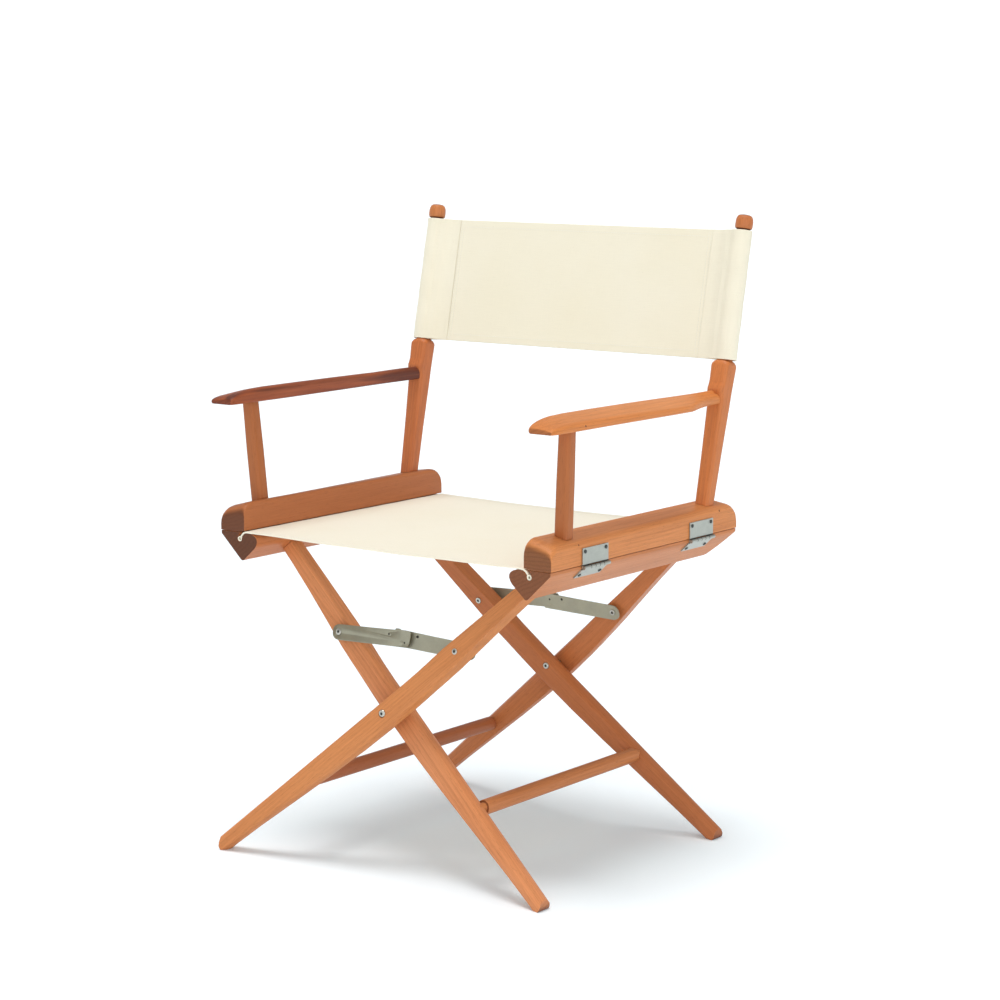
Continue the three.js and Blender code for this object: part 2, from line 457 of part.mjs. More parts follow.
for (const [side, gap, f] of [["front", GAP_F, (s) => s], ["rear", GAP_R, (s) => mirror(s, "y")]]) {
  const b = brace(gap);
  add(`brace_${side}_link_left`, f(b.outer), STEEL, 0.5, 0.85);
  add(`brace_${side}_link_right`, f(b.inner), STEEL, 0.5, 0.85);
  add(`brace_${side}_bolt_left`, f(b.outerBolt), ZINC, 0.35, 0.95);
  add(`brace_${side}_bolt_right`, f(b.innerBolt), ZINC, 0.35, 0.95);
}

// ---------- hinges ----------
function hinge(y) {
  const y0 = y - HINGE.half, y1 = y + HINGE.half, m0 = y0 + 14, m1 = y1 - 14;
  const c = (r, a, b, n = 10) => rod(r, V3(HINGE.x, 0, HINGE.z), Y, a, b, n);
  const x0 = RAIL_X + LEAF_OFF, x1 = x0 + LEAF_T;
  const box = (xa, xb, za, zb, a, b) => alongY([[xa, za], [xb, za], [xb, zb], [xa, zb]], a, b);
  // leaf on the upper rail
  let up = union(box(x0, x1, 441.9, HINGE.top, y0, y1), box(x0, x1, HINGE.z, 443, y0, m0 - GAP), box(x0, x1, HINGE.z, 443, m1 + GAP, y1), c(HINGE.r, y0, m0 - GAP), c(HINGE.r, m1 + GAP, y1));
  up = cut(up, c(HINGE.bore, y0 - 5, y1 + 5));
  for (const [sy, sz] of upperScrews(y)) up = cut(up, rod(1.7, V3(x0 - 2, sy, sz), X, 0, 10, 6));
  // leaf on the sloping face of the lower rail, with the pin
  const strip = (u0, u1, a, b) => {
    const p = [onSlope(u0, LEAF_OFF, 0), onSlope(u1, LEAF_OFF, 0), onSlope(u1, LEAF_OFF + LEAF_T, 0), onSlope(u0, LEAF_OFF + LEAF_T, 0)];
    return alongY(p.map((q) => [q.x, q.z]), a, b);
  };
  const uPin = V3(HINGE.x - SLOPE_B[0], 0, HINGE.z - SLOPE_B[1]).dot(slopeDir);
  let low = union(strip(-0.6, 16.5, y0, y1), strip(uPin, 2, m0, m1), c(HINGE.r, m0, m1), c(HINGE.pin, y0 + 0.6, y1 - 0.6, 8));
  for (const sy of lowerScrews(y)) low = cut(low, rod(1.7, onSlope(SCREW_U, -2, sy), slopeOut, 0, 10, 6));
  return { up, low };
}
const screwAt = (p, dir) => turned([[0, -8], [1.1, -8], [1.1, GAP], [2.7, GAP], [2.4, 1], [0, 1.4]], p, dir, 8);
const places = ["front", "rear"];
HINGE.y.forEach((y, i) => {
  const { up, low } = hinge(y);
  const screws = [];
  upperScrews(y).forEach(([sy, sz], k) => screws.push([`hinge_${places[i]}_screw_upper_${k + 1}`, screwAt(V3(RAIL_X + LEAF_OFF + LEAF_T, sy, sz), X)]));
  lowerScrews(y).forEach((sy, k) => screws.push([`hinge_${places[i]}_screw_lower_${k + 1}`, screwAt(onSlope(SCREW_U, LEAF_OFF + LEAF_T, sy), slopeOut)]));
  for (const side of ["right", "left"]) {
    const f = side === "left" ? (s) => mirror(s, "x") : (s) => s;
    add(`hinge_${places[i]}_${side}_leaf_upper`, f(up), ZINC, 0.4, 0.95);
    add(`hinge_${places[i]}_${side}_leaf_lower`, f(low), ZINC, 0.4, 0.95);
    for (const [n, s] of screws) add(n.replace("_screw", `_${side}_screw`), f(s), STEEL, 0.4, 0.9);
  }
});

export default root;
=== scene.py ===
import math
import bpy, bmesh
import numpy as np
from mathutils import Vector, Matrix, noise


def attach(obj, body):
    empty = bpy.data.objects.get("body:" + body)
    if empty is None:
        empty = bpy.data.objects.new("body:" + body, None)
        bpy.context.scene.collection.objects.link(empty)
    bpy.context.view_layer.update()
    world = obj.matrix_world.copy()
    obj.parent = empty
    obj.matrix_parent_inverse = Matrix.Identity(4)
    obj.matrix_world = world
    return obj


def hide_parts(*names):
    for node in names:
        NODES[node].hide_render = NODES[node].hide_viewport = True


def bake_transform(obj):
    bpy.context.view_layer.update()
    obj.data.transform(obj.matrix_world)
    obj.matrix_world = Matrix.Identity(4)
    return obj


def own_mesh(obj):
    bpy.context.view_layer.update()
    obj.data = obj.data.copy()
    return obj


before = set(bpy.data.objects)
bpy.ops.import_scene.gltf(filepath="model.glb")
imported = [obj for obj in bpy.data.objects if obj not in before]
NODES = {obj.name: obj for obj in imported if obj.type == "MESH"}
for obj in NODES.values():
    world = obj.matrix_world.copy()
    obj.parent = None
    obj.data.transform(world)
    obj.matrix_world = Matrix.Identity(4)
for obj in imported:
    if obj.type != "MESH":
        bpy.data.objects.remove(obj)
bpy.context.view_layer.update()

scene = bpy.context.scene
COL = scene.collection

# ------------------------------------------------------------------ camera
def make_camera():
    az, el = math.radians(36.86), math.radians(8.79)
    target = Vector((-0.00403, 0.04866, 0.47401))
    back = Vector((math.sin(az) * math.cos(el), -math.cos(az) * math.cos(el), math.sin(el)))
    data = bpy.data.cameras.new("camera")
    cam = bpy.data.objects.new("camera", data)
    COL.objects.link(cam)
    data.sensor_width, data.lens = 36.0, 96.41
    data.clip_start, data.clip_end = 0.05, 200.0
    cam.location = target + back * 3.7074
    cam.rotation_mode = "QUATERNION"
    cam.rotation_quaternion = (-back).to_track_quat("-Z", "Y")
    scene.camera = cam

make_camera()
scene.view_settings.view_transform = "Standard"
scene.view_settings.look = "None"
scene.view_settings.exposure = 0.0
scene.view_settings.gamma = 1.0

# ------------------------------------------------------------------ node helpers
class Tree:
    def __init__(self, tree):
        self.t = tree
        self.n = tree.nodes
        self.n.clear()

    def node(self, kind, **props):
        made = self.n.new(kind)
        inputs = props.pop("inputs", {})
        for k, v in props.items():
            setattr(made, k, v)
        for k, v in inputs.items():
            self.put(made.inputs[k], v)
        return made

    def put(self, socket, value):
        if isinstance(value, bpy.types.NodeSocket):
            self.t.links.new(value, socket)
        else:
            socket.default_value = value

    def math(self, op, a, b=0.0, c=0.0, clamp=False):
        m = self.node("ShaderNodeMath", operation=op, use_clamp=clamp)
        self.put(m.inputs[0], a)
        self.put(m.inputs[1], b)
        if len(m.inputs) > 2:
            self.put(m.inputs[2], c)
        return m.outputs[0]

    def dot(self, v, d):
        m = self.node("ShaderNodeVectorMath", operation="DOT_PRODUCT")
        self.put(m.inputs[0], v)
        self.put(m.inputs[1], d)
        return m.outputs["Value"]

    def xyz(self, x, y, z):
        m = self.node("ShaderNodeCombineXYZ")
        for i, v in enumerate((x, y, z)):
            self.put(m.inputs[i], v)
        return m.outputs[0]

    def noise(self, vector, scale=1.0, detail=2.0, rough=0.5, distortion=0.0):
        m = self.node("ShaderNodeTexNoise", noise_dimensions="3D")
        self.put(m.inputs["Vector"], vector)
        m.inputs["Scale"].default_value = scale
        m.inputs["Detail"].default_value = detail
        m.inputs["Roughness"].default_value = rough
        m.inputs["Distortion"].default_value = distortion
        return m.outputs["Fac"]

    def range(self, value, a, b, c=0.0, d=1.0):
        m = self.node("ShaderNodeMapRange", clamp=True)
        self.put(m.inputs["Value"], value)
        for k, v in zip(("From Min", "From Max", "To Min", "To Max"), (a, b, c, d)):
            m.inputs[k].default_value = v
        return m.outputs["Result"]

    def mix(self, fac, a, b, mode="MIX"):
        m = self.node("ShaderNodeMix", data_type="RGBA", blend_type=mode)
        self.put(m.inputs[0], fac)
        self.put(m.inputs[6], a if isinstance(a, bpy.types.NodeSocket) else (*a, 1.0))
        self.put(m.inputs[7], b if isinstance(b, bpy.types.NodeSocket) else (*b, 1.0))
        return m.outputs[2]

    def bump(self, height, strength, distance, normal=None):
        m = self.node("ShaderNodeBump")
        m.inputs["Strength"].default_value = strength
        m.inputs["Distance"].default_value = distance
        self.put(m.inputs["Height"], height)
        if normal is not None:
            self.put(m.inputs["Normal"], normal)
        return m.outputs[0]

    def principled(self, **values):
        out = self.node("ShaderNodeOutputMaterial")
        p = self.node("ShaderNodeBsdfPrincipled")
        self.t.links.new(p.outputs[0], out.inputs["Surface"])
        for k, v in values.items():
            self.put(p.inputs[k.replace("_", " ")], v)
        return p


def new_material(name):
    m = bpy.data.materials.new(name)
    m.use_nodes = True
    return m, Tree(m.node_tree)


def wood(name, axis, seed, light=(0.60, 0.232, 0.082), deep=(0.40, 0.128, 0.042), streak=0.35, painted_hole_shade=(), end=0.42):
    """Oiled hardwood with its grain along axis."""
    m, t = new_material(name)
    u = Vector(axis).normalized()
    side = u.cross(Vector((0, 0, 1)) if abs(u.z) < 0.9 else Vector((1, 0, 0))).normalized()
    turn = 0.35 + (seed * 0.77) % 1.0
    e = (side * math.cos(turn) + u.cross(side) * math.sin(turn)).normalized()
    f = u.cross(e)
    P = t.node("ShaderNodeTexCoord").outputs["Object"]
    U = t.math("ADD", t.dot(P, tuple(u)), seed * 3.17)
    V = t.math("ADD", t.dot(P, tuple(e)), seed * 1.31)
    W = t.math("ADD", t.dot(P, tuple(f)), seed * 0.73)
    mul = lambda s, k: t.math("MULTIPLY", s, k)
    wander = t.noise(t.xyz(mul(U, 2.2), mul(V, 14.0), mul(W, 14.0)), detail=2.0)
    across = t.math("MULTIPLY_ADD", wander, 4.2, t.math("MULTIPLY_ADD", V, 190.0, mul(W, 60.0)))
    ring = t.math("MULTIPLY_ADD", t.math("SINE", mul(across, 6.2832)), 0.5, 0.5)
    ring = t.math("POWER", ring, 2.2)
    broad = t.noise(t.xyz(mul(U, 2.6), mul(V, 52.0), mul(W, 52.0)), detail=3.0, rough=0.55, distortion=0.35)
    patch = t.noise(t.xyz(mul(U, 7.0), mul(V, 16.0), mul(W, 16.0)), detail=1.0)
    fibre = t.noise(t.xyz(mul(U, 16.0), mul(V, 760.0), mul(W, 760.0)), detail=2.0, rough=0.6)
    pore = t.noise(t.xyz(mul(U, 90.0), mul(V, 1500.0), mul(W, 1500.0)), detail=1.0)
    pores = t.range(pore, 0.62, 0.74)
    dark = t.range(broad, 0.50, 0.78)
    col = t.mix(mul(ring, 0.42), light, tuple(0.55 * a + 0.45 * b for a, b in zip(light, deep)))
    col = t.mix(mul(dark, streak * 1.6), col, deep)
    pale = tuple(min(1.0, c * k) for c, k in zip(light, (1.12, 1.22, 1.38)))
    col = t.mix(t.range(patch, 0.48, 0.80, 0.0, 0.38), col, pale)
    col = t.mix(t.range(fibre, 0.30, 0.72, 0.0, 0.26), col, tuple(0.62 * c for c in deep), "MIX")
    col = t.mix(mul(pores, 0.34), col, tuple(0.35 * c for c in deep))
    # end grain drinks the oil and turns darker
    g = t.node("ShaderNodeNewGeometry")
    vt = t.node("ShaderNodeVectorTransform", vector_type="NORMAL", convert_from="WORLD", convert_to="OBJECT")
    t.put(vt.inputs[0], g.outputs["Normal"])
    facing = t.math("ABSOLUTE", t.dot(vt.outputs[0], tuple(u)))
    tubes = t.noise(t.xyz(mul(U, 40.0), mul(V, 1100.0), mul(W, 1100.0)), detail=2.0)
    cut_end = t.range(facing, 0.72, 0.97, 0.0, 1.0)
    endcol = t.mix(t.range(tubes, 0.35, 0.65), tuple(c * end for c in (light[0], light[1] * 0.92, light[2] * 1.25)), tuple(c * end * 0.72 for c in light))
    endcol = t.mix(mul(ring, 0.3), endcol, tuple(c * end * 0.6 for c in deep))
    col = t.mix(mul(cut_end, 0.92), col, endcol)
    height = t.math("SUBTRACT", t.math("MULTIPLY_ADD", fibre, 0.5, mul(ring, 0.12)), mul(pores, 0.8))
    # painted shade: each hole gets a near-black spot standing in for the shade inside it, and a dent in the bump
    if painted_hole_shade:
        spot = None
        for at, r in painted_hole_shade:
            d = t.node("ShaderNodeVectorMath", operation="DISTANCE")
            t.put(d.inputs[0], P)
            d.inputs[1].default_value = at
            one = t.range(d.outputs["Value"], r * 0.7, r * 1.25, 1.0, 0.0)
            spot = one if spot is None else t.math("MAXIMUM", spot, one)
        col = t.mix(mul(spot, 0.8), col, (0.045, 0.016, 0.008))
        height = t.math("SUBTRACT", height, mul(spot, 3.0))
    rough = t.math("ADD", t.range(fibre, 0.2, 0.8, 0.37, 0.50), mul(dark, 0.05))
    t.principled(
        Base_Color=col, Roughness=rough, Normal=t.bump(height, 0.22, 0.00035),
        Coat_Weight=0.04, Coat_Roughness=0.26, Specular_IOR_Level=0.22,
    )
    return m


def metal(name, colour, roughness, metallic, axis=(1, 0, 0), seed=1.0, grime=(0.12, 0.11, 0.09), wear=0.3, dark=None):
    """Plated sheet or strip steel: drawn lines along axis, dull patches and fine scratches."""
    m, t = new_material(name)
    u = Vector(axis).normalized()
    side = u.cross(Vector((0, 0, 1)) if abs(u.z) < 0.9 else Vector((1, 0, 0))).normalized()
    f = u.cross(side)
    P = t.node("ShaderNodeTexCoord").outputs["Object"]
    U, V, W = (t.math("ADD", t.dot(P, tuple(d)), seed * k) for d, k in ((u, 1.3), (side, 2.1), (f, 0.7)))
    mul = lambda s, k: t.math("MULTIPLY", s, k)
    lines = t.noise(t.xyz(mul(U, 30.0), mul(V, 2600.0), mul(W, 2600.0)), detail=2.0)
    cloud = t.noise(t.xyz(mul(U, 60.0), mul(V, 60.0), mul(W, 60.0)), detail=4.0, rough=0.6)
    speck = t.noise(t.xyz(mul(U, 900.0), mul(V, 900.0), mul(W, 900.0)), detail=2.0)
    bright = tuple(min(1.0, c * 1.18) for c in colour)
    col = t.mix(t.range(cloud, 0.35, 0.7), colour, bright)
    col = t.mix(t.range(speck, 0.60, 0.78, 0.0, wear), col, grime)
    # painted shade: where the dark mask is set the metal turns near black, standing in for shade in holes, in hollow
    # bolt and rivet centres and along the line where a hinge leaf curls into its barrel; the dark joints between hinge
    # knuckles are the hinge's own
    if dark:
        col = t.mix(dark(t, P), col, (0.012, 0.012, 0.011))
    rough = t.math("ADD", t.range(cloud, 0.3, 0.7, roughness - 0.07, roughness + 0.08), t.range(lines, 0.3, 0.7, -0.04, 0.05))
    t.principled(
        Base_Color=col, Metallic=metallic, Roughness=rough,
        Normal=t.bump(t.math("MULTIPLY_ADD", lines, 0.6, mul(speck, 0.5)), 0.10, 0.0002),
    )
    return m


def canvas_material(name, pitch=0.0011, tint=(0.885, 0.845, 0.715)):
    """Plain-weave cotton canvas. The attribute cloth_uv holds each point's place on the flat cloth, in metres."""
    m, t = new_material(name)
    a = t.node("ShaderNodeAttribute", attribute_type="GEOMETRY", attribute_name="cloth_uv")
    P = a.outputs["Vector"]
    x, y = t.dot(P, (1, 0, 0)), t.dot(P, (0, 1, 0))
    mul = lambda s, k: t.math("MULTIPLY", s, k)
    slub_x = t.noise(t.xyz(mul(x, 40.0), mul(y, 900.0), 0.0), detail=1.0)
    slub_y = t.noise(t.xyz(mul(x, 900.0), mul(y, 40.0), 3.0), detail=1.0)
    k = 2 * math.pi / pitch
    wob = t.noise(t.xyz(mul(x, 120.0), mul(y, 120.0), 7.0), detail=1.0)
    sx = t.math("SINE", t.math("MULTIPLY_ADD", x, k, mul(wob, 3.0)))
    sy = t.math("SINE", t.math("MULTIPLY_ADD", y, k, mul(wob, 3.0)))
    weave = t.math("MULTIPLY", sx, sy)
    thread = t.math("ADD", t.math("ABSOLUTE", sx), t.math("ABSOLUTE", sy))
    cloud = t.noise(t.xyz(mul(x, 9.0), mul(y, 9.0), 1.0), detail=3.0)
    fleck = t.noise(t.xyz(mul(x, 480.0), mul(y, 480.0), 5.0), detail=1.0)
    col = t.mix(t.range(cloud, 0.3, 0.7), tint, tuple(c * q for c, q in zip(tint, (0.985, 0.978, 0.95))))
    col = t.mix(t.range(slub_x, 0.35, 0.75, 0.0, 0.16), col, tuple(c * 0.86 for c in tint))
    col = t.mix(t.range(slub_y, 0.35, 0.75, 0.0, 0.14), col, tuple(min(1.0, c * 1.07) for c in tint))
    col = t.mix(t.range(weave, -1.0, -0.2, 0.16, 0.0), col, tuple(c * q for c, q in zip(tint, (0.72, 0.70, 0.62))))
    col = t.mix(t.range(fleck, 0.70, 0.80, 0.0, 0.25), col, (0.55, 0.47, 0.32))
    height = t.math("ADD", t.math("MULTIPLY_ADD", weave, 0.55, mul(thread, 0.25)), t.math("ADD", mul(slub_x, 0.8), mul(slub_y, 0.8)))
    t.principled(
        Base_Color=col, Roughness=t.range(fleck, 0.2, 0.8, 0.82, 0.94), Normal=t.bump(height, 0.35, 0.00022),
        Sheen_Weight=0.22, Sheen_Roughness=0.45, Specular_IOR_Level=0.25,
    )
    return m


# ------------------------------------------------------------------ carried-over CAD pieces
def finish_cad(o, bevel=0.0006, segments=2, angle=38.0, sharp=50.0):
    me = o.data
    for a in ("custom_normal",):
        if a in me.attributes:
            me.attributes.remove(me.attributes[a])
    me.polygons.foreach_set("use_smooth", np.ones(len(me.polygons), bool))
    w = o.modifiers.new("weld", "WELD")
    w.merge_threshold = 2e-5
    if bevel:
        b = o.modifiers.new("edge", "BEVEL")
        b.limit_method, b.angle_limit = "ANGLE", math.radians(angle)
        b.width, b.segments = bevel, segments
        b.use_clamp_overlap = True
        b.miter_outer = "MITER_ARC"
    n = o.modifiers.new("shade", "WEIGHTED_NORMAL")
    n.mode, n.weight, n.keep_sharp = "FACE_AREA_WITH_ANGLE", 60, False


def paint(o, m):
    o.data.materials.clear()
    o.data.materials.append(m)
    if len(o.data.polygons):
        o.data.polygons.foreach_set("material_index", np.zeros(len(o.data.polygons), np.int32))


LEG = (0.7567, 0.1158, 0.6434)
LIGHT, DEEP = (0.58, 0.205, 0.066), (0.36, 0.108, 0.033)
WARM = (0.64, 0.240, 0.076)
ROSE = (0.55, 0.178, 0.058)
RED = (0.53, 0.165, 0.049)
# the hole lists below place near-black spots of painted shade at the rails' and arms' holes
woods = {
    "leg_front_outer": dict(axis=LEG, seed=1, light=WARM, streak=0.22),
    # leg_front_inner is paler than the other legs: partly its own paler wood, partly a painted highlight from the
    # bright ridge on its lower part
    "leg_front_inner": dict(axis=(-LEG[0], LEG[1], LEG[2]), seed=2, light=(0.68, 0.256, 0.098), streak=0.28),
    "leg_rear_outer": dict(axis=(LEG[0], -LEG[1], LEG[2]), seed=3, light=ROSE, streak=0.3),
    "leg_rear_inner": dict(axis=(-LEG[0], -LEG[1], LEG[2]), seed=4, light=(0.49, 0.155, 0.052), streak=0.4),
    "stretcher_left": dict(axis=(0, 1, 0), seed=5, light=(0.40, 0.122, 0.046), streak=0.30),
    "stretcher_right": dict(axis=(0, 1, 0), seed=6, light=LIGHT, streak=0.25),
    "rail_lower_right": dict(axis=(0, 1, 0), seed=7, light=LIGHT, streak=0.3, end=0.36),
    "rail_lower_left": dict(axis=(0, 1, 0), seed=8, light=ROSE, streak=0.3, end=0.17),
    "rail_upper_right": dict(axis=(0, 1, 0), seed=9, light=(0.68, 0.252, 0.078), streak=0.3, end=0.33,
                             painted_hole_shade=[((0.278, y, z), 0.0016) for y, z in ((-0.161, 0.4686), (0.075, 0.480), (0.1695, 0.4706))]),
    "rail_upper_left": dict(axis=(0, 1, 0), seed=10, light=(0.45, 0.145, 0.047), streak=0.45, end=0.30,
                            painted_hole_shade=[((-0.278, y, z), 0.0016) for y, z in ((-0.161, 0.4686), (0.1695, 0.4706))]),
    "post_front_right": dict(axis=(0.07, -0.045, 1), seed=11, light=(0.44, 0.137, 0.040), streak=0.2),
    "post_front_left": dict(axis=(-0.07, -0.045, 1), seed=12, light=(0.42, 0.130, 0.038), streak=0.25),
    "post_back_right": dict(axis=(0.02, 0.21, 1), seed=13, light=(0.62, 0.195, 0.055), streak=0.3),
    "post_back_left": dict(axis=(-0.02, 0.21, 1), seed=14, light=(0.56, 0.165, 0.05), deep=(0.25, 0.07, 0.025), streak=0.45),
    "armrest_right": dict(axis=(0, 1, 0), seed=15, light=(0.68, 0.235, 0.062), streak=0.25, end=0.6,
                          painted_hole_shade=[((0.2882, -0.162, 0.6205), 0.0015)]),
    "armrest_left": dict(axis=(0, 1, 0), seed=16, light=(0.34, 0.082, 0.028), deep=(0.12, 0.029, 0.014), streak=0.95, end=0.6,
                         painted_hole_shade=[((-0.2882, -0.162, 0.6205), 0.0015)]),
    "finial_right": dict(axis=(0, 0.2, 1), seed=17, light=ROSE, streak=0.3),
    "finial_left": dict(axis=(0, 0.2, 1), seed=18, light=LIGHT, streak=0.3),
}
ALONG = (0.9999, 0.0, -0.0184)
TILT = math.atan(0.18)


def plane_xh(t, P, front):
    """Place in a leg plane: x, and the height up the plane."""
    sy = math.sin(TILT) * (1 if front else -1)
    h = t.math("ADD", t.dot(P, (0, sy, math.cos(TILT))), 0.2168 * math.sin(TILT) if front else 0.2088 * math.sin(TILT))
    return t.dot(P, (1, 0, 0)), t.math("SUBTRACT", h, 0.222 * math.cos(TILT))


def shade_discs(front, spots):
    """A mask of round marks of painted shade for holes and hollow centres, each (x, height in the plane, radius)."""
    def mask(t, P):
        x, h = plane_xh(t, P, front)
        found = None
        for sx, sh, r in spots:
            dx, dh = t.math("SUBTRACT", x, sx), t.math("SUBTRACT", h, sh)
            d = t.math("SQRT", t.math("ADD", t.math("MULTIPLY", dx, dx), t.math("MULTIPLY", dh, dh)))
            one = t.range(d, r * 0.75, r * 1.15, 0.93, 0.0)
            found = one if found is None else t.math("MAXIMUM", found, one)
        return found
    return mask


# painted shade: near-black discs in the links' holes and round their rivets
def link_hole_shade(front, left):
    if left:
        return shade_discs(front, [(-0.0222, 0.1035, 0.0019), (0.0051, 0.0948, 0.0014), (-0.1088, 0.0961, 0.0016)])
    return shade_discs(front, [(0.0222, 0.1050, 0.0020), (0.0008, 0.1026, 0.0016)])


# painted shade: a near-black dot in the pivot bolt's hollow centre
def pivot_hollow_shade(t, P):
    x, z = t.dot(P, (1, 0, 0)), t.math("SUBTRACT", t.dot(P, (0, 0, 1)), 0.222)
    d = t.math("SQRT", t.math("ADD", t.math("MULTIPLY", x, x), t.math("MULTIPLY", z, z)))
    return t.range(d, 0.0017, 0.0025, 0.95, 0.0)


def knuckles(sx):
    """Dark joints between the hinge's knuckles, and the shadow line where a leaf curls into the barrel."""
    def mask(t, P):
        y, z = t.dot(P, (0, 1, 0)), t.dot(P, (0, 0, 1))
        x = t.math("MULTIPLY", t.dot(P, (1, 0, 0)), sx)
        found = None
        for y0 in (-0.1270, 0.1220):
            for k in (-0.0145, -0.0048, 0.0048, 0.0145):
                one = t.range(t.math("ABSOLUTE", t.math("SUBTRACT", y, y0 + k)), 0.0003, 0.0007, 1.0, 0.0)
                found = one if found is None else t.math("MAXIMUM", found, one)
        found = t.math("MULTIPLY", found, t.range(x, 0.2796, 0.2802))
        found = t.math("MULTIPLY", found, t.range(z, 0.4428, 0.4422))
        line = t.range(t.math("ABSOLUTE", t.math("SUBTRACT", z, 0.4416)), 0.0004, 0.0010, 0.9, 0.0)
        line = t.math("MULTIPLY", line, t.range(x, 0.2788, 0.2792))
        return t.math("MAXIMUM", found, line)
    return mask


HB = 0.0961
brace_mats = {(e, l): metal(f"brace_strip_{e}_{l}", (0.36, 0.345, 0.262), 0.48, 0.70, ALONG, k + 1.0, wear=0.22, dark=link_hole_shade(e == "front", l == "left"))
              for k, (e, l) in enumerate((e, l) for e in ("front", "rear") for l in ("left", "right"))}
# painted shade: the leg bolts' hollow centres are darkened to near black
bolt_mats = {e: metal("bolt_plated_" + e, (0.50, 0.49, 0.44), 0.33, 0.9, (0, 1, 0), 4.0, wear=0.35,
                      dark=shade_discs(e == "front", [(0.1088, HB, 0.0021), (-0.1088, HB, 0.0021)])) for e in ("front", "rear")}
pivot_mat = metal("pivot_plated", (0.50, 0.49, 0.44), 0.33, 0.9, (0, 1, 0), 6.0, wear=0.35, dark=pivot_hollow_shade)
hinge_mats = {"right": metal("hinge_sheet_right", (0.39, 0.400, 0.360), 0.36, 0.85, (0, 1, 0), 2.0, grime=(0.12, 0.12, 0.11), wear=0.3, dark=knuckles(1)),
              "left": metal("hinge_sheet_left", (0.39, 0.400, 0.360), 0.36, 0.85, (0, 1, 0), 2.5, grime=(0.12, 0.12, 0.11), wear=0.3, dark=knuckles(-1))}
screw_mat = metal("screw_dark", (0.075, 0.078, 0.075), 0.42, 0.85, (1, 0, 0), 3.0, grime=(0.02, 0.02, 0.02), wear=0.6)
rod_mat = metal("rod_steel", (0.45, 0.45, 0.43), 0.4, 0.9, (0, 1, 0), 5.0, wear=0.3)

for name, o in NODES.items():
    if name in woods:
        paint(o, wood("wood_" + name, **woods[name]))
        finish_cad(o, 0.0009 if not name.startswith("finial") else 0.0005)
    elif name.endswith("_canvas"):
        pass
    elif "_link_" in name:
        paint(o, brace_mats[("front" if "_front_" in name else "rear", "left" if name.endswith("left") else "right")])
        finish_cad(o, 0.00025)
    elif "_leaf_" in name:
        paint(o, hinge_mats["right" if "_right_" in name else "left"])
        finish_cad(o, 0.0002)
    elif "_screw_" in name:
        paint(o, screw_mat)
        finish_cad(o, 0.0)
    elif "_bolt_" in name or name.startswith("pivot_bolt"):
        paint(o, pivot_mat if name.startswith("pivot") else bolt_mats["front" if "_front_" in name else "rear"])
        finish_cad(o, 0.0002)
    else:
        paint(o, rod_mat)
        finish_cad(o, 0.0)

# ------------------------------------------------------------------ cloth
def strip(name, path, stations, place, uv0=(0.0, 0.0), thickness=0.001, bumps=None, closed=False, subdiv=1, thick=None):
    """A sheet through path (points in a cross-section) swept along stations; place(p, s) gives the 3-D point."""
    n, m = len(path), len(stations)
    run = [0.0]
    for a, b in zip(path, path[1:]):
        run.append(run[-1] + math.hypot(b[0] - a[0], b[1] - a[1]))
    verts, uv, wt = [], [], []
    for j, s in enumerate(stations):
        for i, p in enumerate(path):
            verts.append(place(p, s))
            uv.append((run[i] + uv0[0], s + uv0[1], 0.0))
            wt.append(thick(p, s) if thick else 1.0)
    faces = [(j * n + i, j * n + i + 1, (j + 1) * n + i + 1, (j + 1) * n + i) for j in range(m - 1) for i in range(n - 1)]
    me = bpy.data.meshes.new(name)
    me.from_pydata([tuple(v) for v in verts], [], faces)
    me.validate()
    at = me.attributes.new("cloth_uv", "FLOAT_VECTOR", "POINT")
    at.data.foreach_set("vector", np.array(uv, np.float32).ravel())
    me.polygons.foreach_set("use_smooth", np.ones(len(me.polygons), bool))
    o = bpy.data.objects.new(name, me)
    COL.objects.link(o)
    if thick:
        g = o.vertex_groups.new(name="thick")
        for i, q in enumerate(wt):
            g.add([i], q, "REPLACE")
    s = o.modifiers.new("cloth", "SOLIDIFY")
    s.thickness, s.offset = thickness, 0.0
    s.use_even_offset = True
    if thick:
        s.vertex_group = "thick"
        s.thickness_vertex_group = 0.0
    if subdiv:
        d = o.modifiers.new("soft", "SUBSURF")
        d.levels = d.render_levels = subdiv
        d.use_limit_surface = False
    return o, run[-1]


def smoothstep(a, b, x):
    t = min(1.0, max(0.0, (x - a) / (b - a)))
    return t * t * (3 - 2 * t)


seat_mat = canvas_material("canvas_seat", tint=(0.872, 0.828, 0.690))
# painted shade: the back is the same canvas as the seat, tinted darker so the upright panel, which takes more light,
# looks as dim as the seat
back_canvas_shaded_mat = canvas_material("canvas_back_shaded", tint=(0.845, 0.790, 0.640))
thread_mat, tt = new_material("cotton_thread")
ply = tt.node("ShaderNodeTexCoord").outputs["Object"]
tw = tt.noise(ply, scale=2600.0, detail=1.0)
tt.principled(
    Base_Color=tt.mix(tt.range(tw, 0.3, 0.7), (0.90, 0.88, 0.80), (0.74, 0.70, 0.58)),
    Roughness=tt.range(tw, 0.3, 0.7, 0.7, 0.85), Normal=tt.bump(tw, 0.3, 0.0002), Sheen_Weight=0.15, Sheen_Roughness=0.5,
)


